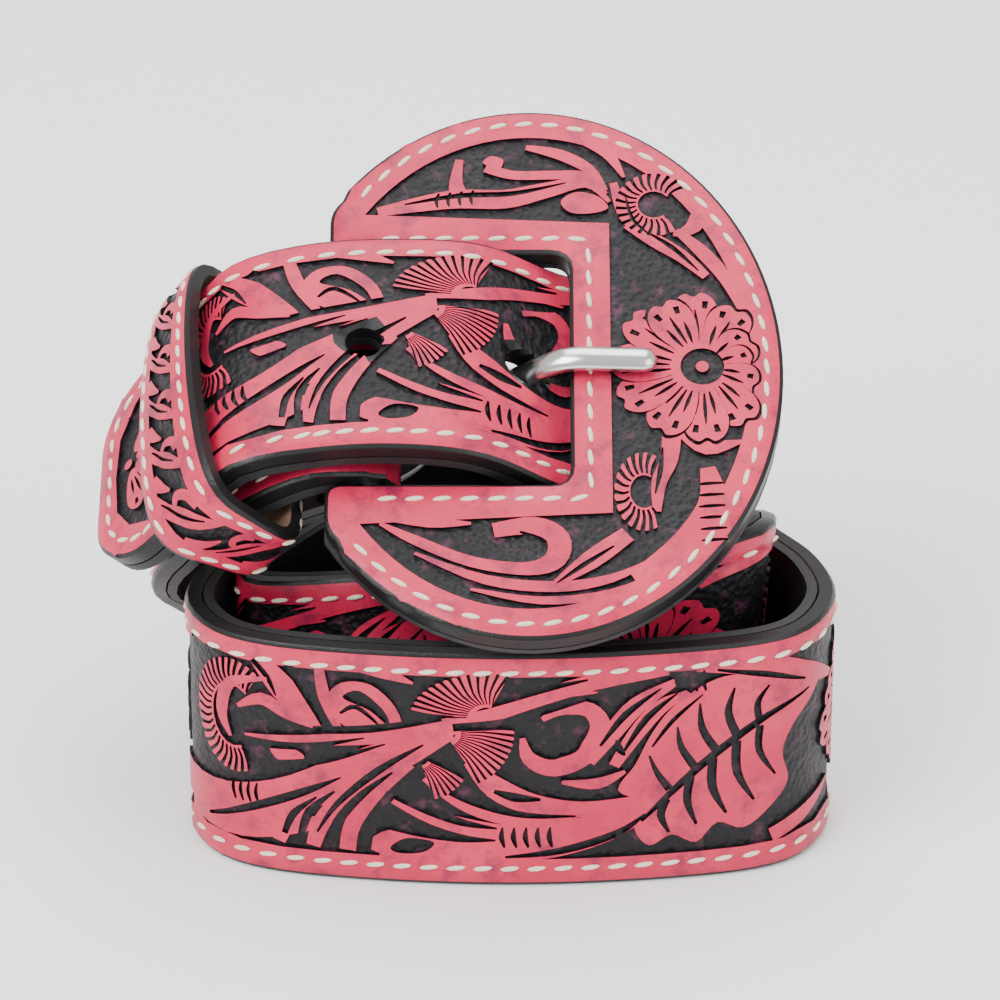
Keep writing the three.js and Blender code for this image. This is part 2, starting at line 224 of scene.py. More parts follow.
def fan(hub, inner, outer, start, end, ribs, scallop=0.5):
    """A shell: a raised sector with a scalloped rim, and the cuts between its ribs."""
    count = ribs * 6
    edge = []
    for i in range(count + 1):
        turn = start + (end - start) * i / count
        swell = scallop * abs(math.sin(math.pi * ribs * i / count))
        edge.append(ring_point(hub, (outer[0] + swell, outer[1] + swell), turn))
    back = [ring_point(hub, inner, start + (end - start) * i / 12) for i in range(13)]
    drawn = [(0, np.array(edge + back[::-1]))]
    for i in range(ribs + 1):
        turn = start + (end - start) * i / ribs
        near = [inner[k] + 0.1 * (outer[k] - inner[k]) for k in (0, 1)]
        middle = [(inner[k] + outer[k]) / 2 for k in (0, 1)]
        far = [outer[k] + scallop for k in (0, 1)]
        spread = math.radians(abs(end - start)) / ribs
        widths = [0.42 * spread * sum(radii) / 2 for radii in (near, middle, far)]
        drawn.append((1, stroke([ring_point(hub, near, turn), ring_point(hub, middle, turn + 4),
                                 ring_point(hub, far, turn)], widths, 3)))
    return drawn


def flower(hub, petals, disc):
    """Petals with notched ends, cup cuts and vein cuts, round a sunk disc with a raised eye."""
    drawn = []
    for turn, length, width in petals:
        turn = math.radians(turn)
        side = [(0.2, 0.1), (0.42, 0.36), (0.7, 0.52), (0.9, 0.44), (1.0, 0.2), (0.95, 0.0)]
        shape = [(a, b) for a, b in side] + [(a, -b) for a, b in side[-2::-1]]
        turned = [(hub[0] + length * a * math.cos(turn) - width * b * math.sin(turn),
                   hub[1] + length * a * math.sin(turn) + width * b * math.cos(turn)) for a, b in shape]
        shadow = [(hub[0] + 1.05 * (x - hub[0]), hub[1] + 1.05 * (y - hub[1])) for x, y in turned]
        drawn.append((1, smooth(shadow, True, 3)))
        drawn.append((0, smooth(turned, True, 3)))
        for a, b, reach in ((0.34, -0.12, 0.3), (0.34, 0.12, 0.3), (0.36, 0, 0.42)):
            line = [(a, b), (a + reach / 2, b * 1.5), (a + reach, b * 1.9)]
            drawn.append((1, stroke([(hub[0] + length * x * math.cos(turn) - width * y * math.sin(turn),
                                      hub[1] + length * x * math.sin(turn) + width * y * math.cos(turn))
                                     for x, y in line], [0.2, 0.6, 0.15], 3)))
        for b in (-0.2, 0.2):
            line = [(0.78, b * 1.1), (0.88, b * 1.3)]
            drawn.append((1, stroke([(hub[0] + length * x * math.cos(turn) - width * y * math.sin(turn),
                                      hub[1] + length * x * math.sin(turn) + width * y * math.cos(turn))
                                     for x, y in line], [0.7, 0.9], 2)))
    circle = np.linspace(0, 2 * math.pi, 24, endpoint=False)
    for ink, radius in ((1, disc), (0, disc * 0.3)):
        drawn.append((ink, np.stack([hub[0] + radius * np.cos(circle), hub[1] + radius * np.sin(circle)], 1)))
    return drawn


def bars(start, step, count, reach, width=0.55):
    """Short parallel cuts across a stem."""
    drawn = []
    for i in range(count):
        x, y = start[0] + step[0] * i, start[1] + step[1] * i
        middle = (x + reach[0] / 2 - 0.3, y + reach[1] / 2)
        drawn.append((1, stroke([(x, y), middle, (x + reach[0], y + reach[1])], [0.25, width, 0.3], 3)))
    return drawn


def strokes(ink, table):
    return [(ink, stroke(points, widths)) for points, widths in table]


def blobs(ink, table):
    return [(ink, smooth(points, True, 4)) for points in table]


def inset(loop, distance):
    """The loop drawn in by a distance, for a loop that runs anticlockwise."""
    before, after = np.roll(loop, 1, axis=0), np.roll(loop, -1, axis=0)
    t = after - before
    t /= np.maximum(np.linalg.norm(t, axis=1, keepdims=True), 1e-9)
    return loop + np.stack([-t[:, 1], t[:, 0]], 1) * distance


def carve(name, outline, cuts, shapes, grid, place, top, under, sink=0.5 * mm, rim=0.45 * mm, open_ends=None):
    """A closed piece of leather from a drawing in its own flat coordinates, in millimetres. place
    takes those coordinates and a height to points in space."""
    points, edges, faces, inks = [], [], [], []

    def add(loop, ink):
        start = len(points)
        points.extend(map(tuple, loop))
        index = list(range(start, len(points)))
        if ink is None:
            edges.extend(zip(index, index[1:] + index[:1]))
        else:
            faces.append(index)
            inks.append(ink)

    add(outline, 0)
    for cut in cuts:
        add(cut, 9)
    bevel = 0.55
    add(inset(outline, bevel), None)
    for cut in cuts:
        add(inset(cut[::-1], -bevel), None)
    for ink, shape in shapes:
        area = 0.5 * np.sum(shape[:, 0] * np.roll(shape[:, 1], -1) - shape[:, 1] * np.roll(shape[:, 0], -1))
        add(shape if area > 0 else shape[::-1], ink)
    points.extend(map(tuple, grid))
    made = delaunay_2d_cdt([Vector(p) for p in points], edges, faces, 1, 1e-5, True)
    flat = np.array([tuple(p) for p in made[0]])
    on_rim = np.zeros(len(flat), bool)
    limit = len(outline) + sum(len(cut) for cut in cuts)
    for i, origins in enumerate(made[3]):
        on_rim[i] = any(k < limit for k in origins)
    kept, level = [], []
    for corners, origins in zip(made[2], made[5]):
        if 0 not in origins or len(corners) != 3:
            continue
        if any(inks[k] == 9 for k in origins):
            continue
        drawn = [k for k in origins if k > len(cuts)]
        kept.append(corners)
        level.append(inks[max(drawn)] if drawn else 0)
    used = {}
    xy, heights, tris, tone = [], [], [], []

    def vertex(i, kind):
        key = (i, kind)
        if key not in used:
            used[key] = len(xy)
            xy.append(flat[i])
            if kind == 2:
                heights.append(under)
            else:
                heights.append(top - (rim if on_rim[i] else 0) - (sink if kind == 1 else 0))
        return used[key]

    sides = {}
    for face, (corners, ink) in enumerate(zip(kept, level)):
        tris.append([vertex(i, ink) for i in corners])
        tone.append(2 if any(on_rim[i] for i in corners) else ink)
        for k in range(3):
            sides[(corners[k], corners[(k + 1) % 3])] = face
    for (a, b), face in sides.items():
        other = sides.get((b, a))
        if other is None:
            if open_ends is None or not (open_ends(flat[a]) and open_ends(flat[b])):
                ink = level[face]
                tris.append([vertex(b, ink), vertex(a, ink), vertex(a, 2), vertex(b, 2)])
                tone.append(2)
        elif level[face] == 0 and level[other] == 1:
            tris.append([vertex(b, 0), vertex(a, 0), vertex(a, 1), vertex(b, 1)])
            tone.append(1)
    for corners in kept:
        tris.append([vertex(i, 2) for i in reversed(corners)])
        tone.append(3)
    xy, heights = np.array(xy), np.array(heights)
    mesh = bpy.data.meshes.new(name)
    mesh.from_pydata([tuple(p) for p in place(xy[:, 0] * mm, xy[:, 1] * mm, heights)[0]], [], tris)
    attribute = mesh.attributes.new("dye", "FLOAT", "FACE")
    attribute.data.foreach_set("value", np.array(tone, np.float32))
    mesh.update()
    if open_ends is not None:
        joined = bmesh.new()
        joined.from_mesh(mesh)
        bmesh.ops.remove_doubles(joined, verts=joined.verts, dist=1e-5)
        joined.to_mesh(mesh)
        joined.free()
    mesh.shade_smooth()
    mesh.set_sharp_from_angle(angle=math.radians(50))
    piece = bpy.data.objects.new(name, mesh)
    bpy.context.scene.collection.objects.link(piece)
    return piece


class Link:
    """A value in a shader: arithmetic on it adds the nodes that work it out."""

    def __init__(self, shader, socket):
        self.shader, self.socket = shader, socket

    def _math(self, operation, *values):
        return self.shader.node("ShaderNodeMath", {"operation": operation}, dict(enumerate(values)))

    def __add__(self, other):
        return self._math("ADD", self, other)

    def __mul__(self, other):
        return self._math("MULTIPLY", self, other)

    def near(self, value, width=0.5):
        return self._math("COMPARE", self, value, width)

    __radd__, __rmul__ = __add__, __mul__


class Finish:
    """A material and its nodes."""

    def __init__(self, name):
        self.material = bpy.data.materials.new(name)
        self.material.use_nodes = True
        self.tree = self.material.node_tree
        self.surface = self.tree.nodes["Principled BSDF"]
        self.place = self.node("ShaderNodeTexCoord", {}, {}, "Object")

    def node(self, kind, settings, inputs, output=0):
        made = self.tree.nodes.new(kind)
        for key, value in settings.items():
            if key == "stops":
                for element, (position, colour) in zip(made.color_ramp.elements, value):
                    element.position, element.color = position, colour
            else:
                setattr(made, key, value)
        self.feed(made, inputs)
        return Link(self, made.outputs[output])

    def feed(self, made, inputs):
        for key, value in inputs.items():
            if isinstance(value, Link):
                self.tree.links.new(value.socket, made.inputs[key])
            else:
                made.inputs[key].default_value = value

    def noise(self, scale, detail=3.0, roughness=0.55):
        inputs = {"Vector": self.place, "Scale": scale, "Detail": detail, "Roughness": roughness}
        return self.node("ShaderNodeTexNoise", {}, inputs, "Fac")

    def steps(self, value, low, high):
        inputs = {"Value": value, "From Min": low, "From Max": high}
        return self.node("ShaderNodeMapRange", {"clamp": True}, inputs)

    def mix(self, factor, a, b):
        made = self.tree.nodes.new("ShaderNodeMix")
        made.data_type = "RGBA"
        for index, value in ((0, factor), (6, a), (7, b)):
            if isinstance(value, Link):
                self.tree.links.new(value.socket, made.inputs[index])
            else:
                made.inputs[index].default_value = value
        return Link(self, made.outputs[2])

    def bump(self, height, strength, distance):
        inputs = {"Height": height, "Strength": strength, "Distance": distance}
        return self.node("ShaderNodeBump", {}, inputs, "Normal")

    def finish(self, **sockets):
        self.feed(self.surface, {key.replace("_", " "): value for key, value in sockets.items()})
        return self.material


pink = (0.5, 0.014, 0.058, 1)
pink_light = (0.62, 0.03, 0.08, 1)
pink_deep = (0.26, 0.01, 0.036, 1)
dye_black = (0.004, 0.0035, 0.005, 1)
dye_rubbed = (0.12, 0.03, 0.065, 1)
edge_black = (0.008, 0.0075, 0.008, 1)
residue_purple = (0.11, 0.016, 0.05, 1)

tooled = Finish("tooled_leather")
dye = tooled.node("ShaderNodeAttribute", {"attribute_name": "dye"}, {}, "Fac")
mottle = tooled.noise(90)
grain = tooled.noise(2600, 2)
pebble = tooled.node("ShaderNodeTexVoronoi", {"feature": "SMOOTH_F1"},
                     {"Vector": tooled.place, "Scale": 1050.0, "Smoothness": 0.6}, "Distance")
worn = tooled.steps(tooled.noise(420, 4), 0.56, 0.72)
sunk = dye.near(1.0)
edge = dye.near(2.0)
back = dye.near(3.0)
top_colour = tooled.mix(tooled.steps(mottle, 0.35, 0.7), pink, pink_light)
top_colour = tooled.mix(tooled.steps(grain, 0.62, 0.8) * 0.35, top_colour, pink_deep)
residue = tooled.steps(tooled.noise(190, 6, 0.68), 0.5, 0.68)
top_colour = tooled.mix(residue * 0.7, top_colour, residue_purple)
ground = tooled.mix(worn * 0.5, dye_black, dye_rubbed)
colour = tooled.mix(sunk, top_colour, ground)
colour = tooled.mix(edge, colour, edge_black)
colour = tooled.mix(back, colour, (0.2, 0.12, 0.08, 1))
relief = tooled.bump(grain * 0.35 + pebble * sunk * 1.6, 0.55, 0.00035)
tooled_leather = tooled.finish(
    Base_Color=colour,
    Roughness=0.3 + tooled.steps(mottle, 0.3, 0.7) * 0.12 + sunk * 0.14,
    Normal=relief,
)
tooled_leather.node_tree.nodes["Principled BSDF"].inputs["Specular IOR Level"].default_value = 0.28

# The pattern, in mm along and across the strap: 0 is raised, 1 is cut away, and a later shape lies
# over an earlier one.
pattern_length = 122
strap_pattern = strokes(0, (
    ([(384, -9.5), (394, -8.8), (404, -6.2), (414, -1.2), (421, 2.6), (428, 6.8)],
     [5.6, 5.6, 5.8, 6.4, 5.2, 3.2]),
    ([(399, 3.2), (410, 4.0), (420, 5.6), (428, 7.6)], [0.4, 1.8, 2.6, 2.8]),
    ([(388, -12.5), (398, -12), (406, -10.5), (412, -9)], [3.4, 4.2, 3.0, 0.6]),
    ([(403.6, -13.6), (405.6, -9), (410, -5), (415, -1.6)], [1.8, 2.4, 2.4, 1.6]),
    ([(408.4, -13.8), (409.8, -9.5), (413.4, -4.6), (418, -1)], [2.0, 2.6, 2.2, 1.2]),
    ([(413.4, -14), (414.2, -9.6), (417.6, -4), (422.6, 1)], [2.4, 2.4, 2.4, 1.6]),
    ([(427, 7), (434, 9.6), (441, 12.2), (449, 14.6), (459, 16)], [3.2, 2.8, 2.6, 2.6, 2.0]),
    ([(401, 16.4), (404, 12.6), (407, 8.9), (409.8, 5.2)], [2.4, 3.8, 3.6, 0.7]),
    ([(409.6, 16), (410.4, 11), (412.6, 5.4)], [1.4, 1.8, 1.0]),
    ([(414, 16.2), (419, 15.6), (423, 14.2)], [0.6, 1.8, 0.4]),
    ([(419, -4.9), (426, -7.9), (434, -9.9), (443, -10.6)], [0.5, 2.4, 2.8, 2.4]),
    ([(418, -13.6), (428, -13.2), (440, -12.2), (450, -9.4), (458, -5)], [3.0, 4.0, 5.2, 5.2, 3.2]),
    ([(424.4, -1.4), (429, -4.6), (434, -6.9), (441, -8.4), (450, -8.2)], [0.6, 2.2, 2.6, 2.2, 0.4]),
    ([(430.6, 1.6), (434.6, -2.6), (440, -5.4), (447, -6.4), (455, -5.2)], [1.2, 3.6, 3.4, 2.6, 1.4]),
    ([(438.4, 5.6), (439.4, 2.2), (443, 0.6), (447.4, 2.8), (449.4, 7), (447.8, 10), (444, 10.3),
      (441.2, 8.6)],
     [0.8, 2.2, 2.8, 3.2, 3.0, 2.4, 2.0, 0.8]),
    ([(447.6, 1.6), (451, 6), (454.6, 10.4), (460, 13.8)], [2.4, 2.8, 2.8, 1.2]),
    ([(451.4, 0.6), (454.4, 5.6), (457.8, 9.8), (462, 12)], [1.6, 2.4, 2.4, 0.8]),
    ([(444, -1.8), (449, -2.2), (453, -0.4)], [0.6, 1.8, 0.6]),
    ([(437.6, 11.4), (443, 12.6), (449, 12.8)], [0.3, 1.2, 0.3]),
    ([(463, 16), (471, 15.4), (479, 11.8), (486, 8)], [1.6, 3.6, 3.4, 1.0]),
    ([(474, -13.6), (480, -11.5), (486, -9.4)], [2.4, 2.4, 0.6]),
    ([(503, 12.5), (506, 14.6), (511, 15.6)], [0.8, 2.0, 1.6]),
    ([(504, -12), (508, -10.4), (513, -9.6)], [1.0, 3.4, 5.0]),
))
strap_pattern += blobs(0, (
    [(410.6, 10.6), (412.8, 13.6), (417, 13.6), (420.6, 10), (421.2, 5.8), (416.5, 5.4), (412.4, 7.2)],
    [(416.4, -13.4), (418.4, -10.6), (423, -9.9), (427.6, -11.3), (428.4, -13.6), (423, -15.2)],
    [(452, -3.4), (454.4, 0.6), (456.4, 5), (459, 9), (462, 11.6), (466, 13.8), (470, 14),
     (474, 12.2), (478, 10.6), (482.6, 10.2), (480, 7), (477, 4), (475.4, 0), (476.4, -5),
     (473.6, -8.8), (470, -11.4), (466.4, -10),
     (463.4, -13), (459.8, -11.4), (456.6, -13), (454.4, -10), (455.6, -6)],
    [(402.6, 1.6), (405.4, 2.2), (407.4, 0.8), (404.6, -0.6)],
))
strap_pattern += strokes(1, (
    ([(426, 8.6), (433, 10.8), (441, 13.4), (447.6, 14.9)], [0.6, 1.1, 1.1, 0.3]),
    ([(400, 5.2), (408, 5.5), (417, 6.4), (427, 8.6)], [0.8, 1.2, 1.3, 0.8]),
    ([(428.6, 7.2), (436, 8.3), (444, 10.8), (452, 13.4)], [1.3, 1.1, 1.1, 0.3]),
    ([(400.6, -1.2), (406, -0.4), (412, 1.3), (419, 4)], [1.7, 1.4, 1.1, 0.2]),
    ([(401.6, 2.2), (408, 2.8), (416, 4.8)], [1.3, 1.1, 0.2]),
    ([(392.6, -12.4), (400, -8.6), (407, -5), (412.6, -2)], [0.5, 1.3, 1.3, 0.2]),
    ([(404.4, -12.2), (405.8, -8.6), (409, -5.6)], [0.8, 1.1, 0.3]),
    ([(406.6, -12.6), (408, -8), (411.6, -4.4)], [0.9, 1.3, 0.3]),
    ([(411, -13), (412, -9.4), (415.6, -4.6), (420, -0.6)], [0.9, 1.4, 1.2, 0.3]),
    ([(416.2, -14), (417, -8.8), (420, -4), (424.4, 1.6)], [1.1, 1.5, 1.4, 0.3]),
    ([(409, -11.4), (412, -6.4), (418, -0.4), (424.4, 4.2)], [0.3, 0.9, 1.2, 0.3]),
    ([(400.4, 15.8), (402.4, 13.4), (403.6, 10.4)], [0.8, 0.8, 0.2]),
    ([(405.2, 15.8), (408.2, 10.8), (410.6, 5.4)], [1.2, 1.5, 0.5]),
    ([(412.6, 8.6), (415, 9.8), (418.8, 6.4)], [0.4, 0.8, 0.2]),
    ([(419, -4.0), (425, -6.6), (430, -8.5), (434.8, -9.4)], [0.7, 1.5, 1.2, 0.3]),
    ([(418.4, -9.6), (424, -10.5), (430, -11.2), (434.6, -11.4)], [0.6, 1.3, 1.2, 0.3]),
    ([(424, -0.2), (428, -3.0), (433, -5.6), (439, -7.2), (446, -7.5)], [0.5, 1.6, 1.3, 1.0, 0.3]),
    ([(434.4, -3.2), (437.4, -4.2), (441, -4.6)], [0.6, 1.5, 0.5]),
    ([(436, -14.2), (444, -13.2), (452, -10.6), (456, -7.6)], [0.4, 1.2, 1.2, 0.3]),
    ([(449.4, 4), (453, 9), (458, 12.9)], [0.4, 1.1, 0.2]),
    ([(452.8, 3), (456, 8.2), (460.4, 12)], [0.4, 1.1, 0.2]),
    ([(455.4, -8.8), (461, -3), (467, 2.4), (473, 6.6), (479.8, 9.0)], [0.5, 1.2, 1.3, 1.1, 0.3]),
    ([(459.4, -3.8), (457.6, -1), (456.4, 2)], [1.2, 0.9, 0.3]),
    ([(463, -0.4), (461, 3), (460.4, 6.4)], [1.3, 1.0, 0.3]),
    ([(466.2, 1.8), (464, 5.8), (463.6, 10)], [1.3, 1.1, 0.3]),
    ([(469, 3.8), (467.6, 8), (468.4, 12)], [1.3, 1.1, 0.3]),
    ([(472, 5.8), (471.6, 9), (473.2, 11.6)], [1.1, 0.9, 0.3]),
    ([(459, -5.4), (458.2, -8), (459.4, -11)], [1.2, 1.2, 0.4]),
    ([(462.4, -2), (462, -6), (463.4, -10)], [1.3, 1.2, 0.4]),
    ([(465.6, 0.8), (465.6, -4), (467.6, -8.6)], [1.3, 1.3, 0.4]),
    ([(468.8, 3.2), (469, -2), (471.4, -7)], [1.3, 1.2, 0.4]),
    ([(472, 5.2), (472, 1), (474.4, -3.4)], [1.1, 1.0, 0.3]),
    ([(466, 15.2), (473, 13.4), (479, 10.8)], [0.4, 1.0, 0.3]),
    ([(456.8, 3.4), (459.8, 7.6), (464, 11.4)], [0.3, 0.7, 0.2]),
))
strap_pattern += blobs(1, (
    [(413, 11.2), (415.4, 12.5), (418.8, 9.6), (419.6, 7), (416.8, 9.4)],
    [(419.6, -13.1), (422, -11.4), (425.8, -11.9), (424.4, -13.6), (421, -14)],
    [(443.6, 8.4), (446, 8.8), (447.2, 7), (444.8, 6.2)],
    [(443.2, 2.3), (446, 3.2), (446.8, 5.2), (444.2, 4.2)],
    [(451.6, 4.9), (452.5, 3.9), (453, 2.2), (451.7, 3)],
    [(440.8, 4.6), (441.8, 3), (441.2, 6)],
))
strap_pattern += bars((397.2, -4.6), (1.15, 0), 4, (0.2, -3.4))
strap_pattern += bars((435.6, -9.2), (1.7, 0), 5, (0.3, -3.4), 0.8)
strap_pattern += bars((460.4, 15.4), (1.25, 0), 4, (0.3, -3.4), 0.7)
strap_pattern += fan((397.2, 5.8), (3.3, 5.0), (6.2, 9.0), 52, 292, 24, 0.25)
strap_pattern += strokes(0, (
    ([(402.4, 13), (397, 11.2), (395.4, 6), (396.8, 2.2)], [0.5, 1.7, 1.8, 0.5]),
    ([(398, 7.6), (401.6, 9.6), (405, 7.6), (408.6, 5.9)], [0.6, 2.0, 1.5, 0.3]),
))
strap_pattern += fan((433.4, 8.6), (2.0, 2.0), (10.4, 7.0), 74, 172, 13)
strap_pattern += fan((427.4, 6.4), (1.6, 1.6), (9.4, 9.0), -60, 4, 10)
strap_pattern += fan((423.8, 2.2), (1.4, 1.4), (6.8, 6.8), -74, -28, 6)
strap_petals = [(a, 12.2 if i % 2 else 11.2, 6.6) for i, a in enumerate(range(8, 368, 36))]
strap_pattern += flower((495, 0.8), strap_petals, 3.0)

hole_places = [52.2 + 25 * i for i in range(5)]
circle = np.linspace(0, 2 * math.pi, 20, endpoint=False)
hole_cuts = []
for i, s in enumerate(hole_places):
    reach, offset = (4.0, -0.4) if i == 1 else (2.65, 0)
    hole_cuts.append(np.stack([s + offset + reach * np.cos(circle), 2.65 * np.sin(circle)], 1))
bar_at = tab_start / mm + 4.6
tab_cut = np.array([(bar_at - 7.6, -3), (bar_at + 8.6, -3), (bar_at + 8.6, 3), (bar_at - 7.6, 3)])
half = 19.0
tip_corner = 12.0
end_at = belt_length / mm
tab_at = tab_start / mm


def strap_outline(end, tab_half):
    """Anticlockwise from the lower edge: the sides, the end and the rounded tip."""
    loop = [(s, -half) for s in np.arange(tip_corner, min(end, tab_at), 2.5)]
    loop.append((min(end, tab_at), -half))
    if tab_half:
        loop += [(tab_at + 4, -tab_half)] + [(s, -tab_half) for s in np.arange(tab_at + 6, end - 1, 2.0)]
        loop += [(end, w) for w in np.linspace(-tab_half, tab_half, 11)]
        loop += [(s, tab_half) for s in np.arange(tab_at + 6, end - 1, 2.0)[::-1]] + [(tab_at + 4, tab_half)]
    else:
        loop += [(end, w) for w in np.linspace(-half, half, 13)[1:-1]]
    loop.append((min(end, tab_at), half))
    loop += [(s, half) for s in np.arange(tip_corner, min(end, tab_at), 2.5)[::-1]]
    flat = half - tip_corner
    for turn in np.radians(np.arange(9, 90, 9)):
        loop.append((tip_corner * (1 - math.sin(turn)), flat + tip_corner * math.cos(turn)))
    loop += [(0, w) for w in np.linspace(flat, -flat, 6)]
    for turn in np.radians(np.arange(81, 0, -9)):
        loop.append((tip_corner * (1 - math.sin(turn)), -flat - tip_corner * math.cos(turn)))
    return np.array(loop)


ground_edge = 14.6
ground_loop = [(s, -ground_edge) for s in np.arange(14, tab_at - 12, 6)]
ground_loop += [(s, ground_edge + 0.9) for s in np.arange(14, tab_at - 12, 6)[::-1]]
ground_loop += [(8.0, 12.6), (4.8, 7.5), (4.2, 0), (4.8, -7.5), (8.0, -12.2)]
strap_shapes = [(1, np.array(ground_loop))]
for repeat in range(-4, 3):
    for ink, shape in strap_pattern:
        moved = shape + np.array([pattern_length * repeat, 0])
        if moved[:, 0].min() > 5.5 and moved[:, 0].max() < tab_at - 8:
            strap_shapes.append((ink, moved))


def strap_grid(end):
    steps = [*np.arange(2.4, min(end, tab_at) - 1.5, 2.4), *np.arange(tab_at, end - 1.5, 0.9)]
    return [(s, w) for s in steps for w in np.linspace(-16.4, 16.4, 9)]


tab_half = 18.0
strap = carve("strap_face", strap_outline(end_at, tab_half), [*hole_cuts, tab_cut], strap_shapes,
              strap_grid(end_at), belt_at, strap_thickness / 2, strap_thickness / 2 - face_leather)
strap.data.materials.append(tooled_leather)
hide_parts("tooled_strap")
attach(strap, "root")

# The lining: thin black leather, cut with the same tip and holes as the face, glued behind it and
# sewn through both. It ends where the tab starts.
lining_finish = Finish("black_leather")
lining_grain = lining_finish.noise(1500, 4)
lining_cloud = lining_finish.noise(70)
lining_dark = (0.007, 0.0065, 0.008, 1)
lining_pale = (0.018, 0.017, 0.02, 1)
black_leather = lining_finish.finish(
    Base_Color=lining_finish.mix(lining_finish.steps(lining_cloud, 0.35, 0.7), lining_dark, lining_pale),
    Roughness=0.52 + lining_cloud * 0.2,
    Normal=lining_finish.bump(lining_grain, 0.5, 0.0003),
)
lining_leather = 1.5 * mm
lining = carve("lining", strap_outline(tab_at, 0), hole_cuts, [], strap_grid(tab_at), belt_at,
               -strap_thickness / 2 + lining_leather, -strap_thickness / 2, rim=0)
lining.data.materials.append(black_leather)
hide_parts("strap_lining")
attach(lining, "root")

# The keeper: a closed loop of the same tooled leather round both layers of the strap, its two
# ends sewn together at the back.
keeper_start = 20.3 * mm
keeper_width = 11.0
keeper_wall = 2.2 * mm
keeper_half = (22.2 * mm, 7.7 * mm)
keeper_drop = 0.6 * mm
keeper_sink = 4.6 * mm
keeper_swell = 2.2 * mm
keeper_square = 0.3
probe = 0.4 * mm
turns = np.linspace(-math.pi / 2, 1.5 * math.pi, 20001)
ring_w = keeper_half[0] * np.sign(np.cos(turns)) * np.abs(np.cos(turns)) ** keeper_square
ring_z = keeper_half[1] * np.sign(np.sin(turns)) * np.abs(np.sin(turns)) ** keeper_square
ring_z += np.where(np.sin(turns) > 0, keeper_swell * (1 - (ring_w / keeper_half[0]) ** 2), 0)
ring_at_length = np.concatenate([[0], np.cumsum(np.hypot(np.diff(ring_w), np.diff(ring_z)))])
ring_length = ring_at_length[-1]


def keeper_at(t, h, grow):
    """Points on the keeper at t round it and h across it, and their directions."""
    t, h, grow = np.atleast_1d(t), np.atleast_1d(h), np.atleast_1d(grow)
    near = [np.interp((t + d) % ring_length, ring_at_length, ring)
            for d in (-probe, probe) for ring in (ring_w, ring_z)]
    tw, tz = near[2] - near[0], near[3] - near[1]
    size = np.hypot(tw, tz)
    tw, tz = tw / size, tz / size
    w = np.interp(t % ring_length, ring_at_length, ring_w) + tz * grow - keeper_drop
    z = np.interp(t % ring_length, ring_at_length, ring_z) - tw * grow - keeper_sink
    point, along, across, out = belt_at(keeper_start + h, w, z)
    round_it = across * tw[:, None] + out * tz[:, None]
    return point, round_it, along, across * tz[:, None] - out * tw[:, None]


ring_end = ring_length / mm
ring_steps = np.linspace(0, ring_end, 90)
seam_steps = (2.75, 5.5, 8.25)
keeper_outline = np.array([(t, 0) for t in ring_steps] + [(ring_end, h) for h in seam_steps]
                          + [(t, keeper_width) for t in ring_steps[::-1]]
                          + [(0, h) for h in seam_steps[::-1]])
keeper_ground = [(t, 2.9) for t in ring_steps[2:-2]] + [(t, 8.1) for t in ring_steps[-3:1:-1]]
keeper_shapes = [(1, np.array(keeper_ground))]
for i in range(12):
    t = 4 + (ring_end - 8) * i / 12
    keeper_shapes += strokes(0, (
        ([(t, 2.6), (t + 2.4, 3.6), (t + 4.6, 5.8), (t + 7.6, 8.4)], [0.8, 1.7, 2.2, 0.8]),
        ([(t + 4.4, 7.9), (t + 2.8, 7.6), (t + 1.9, 6.2), (t + 2.6, 5.2)], [0.8, 1.2, 1.2, 0.8]),
        ([(t + 5.6, 3.0), (t + 7.6, 3.6), (t + 9.2, 5.4)], [0.8, 1.5, 0.4]),
    ))
    keeper_shapes += strokes(1, (([(t + 1.2, 3.1), (t + 3.6, 4.9), (t + 5.8, 7.2)], [0.2, 0.5, 0.2]),))
keeper_grid = [(t, h) for t in ring_steps[1:-1] for h in (1.6, 5.5, 9.4)]
keeper = carve("keeper_loop", keeper_outline, [], keeper_shapes, keeper_grid, keeper_at, keeper_wall, 0,
               rim=0.3 * mm, open_ends=lambda p: p[0] < 0.01 or p[0] > ring_end - 0.01)
keeper.data.materials.append(tooled_leather)
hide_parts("keeper")
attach(keeper, "root")

# The buckle's cover: thick leather, tooled like the strap, over a C-shaped metal plate that is
# open at the left where the strap passes through.
plate_centre = -5.6
plate_radii = (37.0, 46.3)
plate_cut = -35.0
slot_half = 20.25
slot_edge = 0.4


def plate_at(u, v, n):
    """Points on the buckle plate, and its directions."""
    u, v, n = (np.atleast_1d(value)[:, None] for value in (u, v, n))
    directions = [np.repeat(np.array(d)[None], len(u), 0) for d in (plate_u, plate_v, plate_n)]
    start = np.array(plate_middle + shift)
    return start + directions[0] * u + directions[1] * v + directions[2] * n, *directions


def oval(radii, start, end, step):
    """An arc of an oval about the plate's centre."""
    return [(plate_centre + radii[0] * math.cos(math.radians(a)), radii[1] * math.sin(math.radians(a)))
            for a in np.linspace(start, end, max(2, int(abs(end - start) / step)))]


def line(a, b, step=2.4):
    return [tuple(p) for p in np.linspace(a, b, max(2, int(math.dist(a, b) / step)))]


def corner(point, before, after, reach):
    """Points round a corner."""
    p, a, b = (np.array(v, float) for v in (point, before, after))
    a = p + (a - p) / np.linalg.norm(a - p) * reach
    b = p + (b - p) / np.linalg.norm(b - p) * reach
    return [tuple((1 - t) ** 2 * a + 2 * t * (1 - t) * p + t * t * b) for t in (0, 0.25, 0.5, 0.75, 1)]


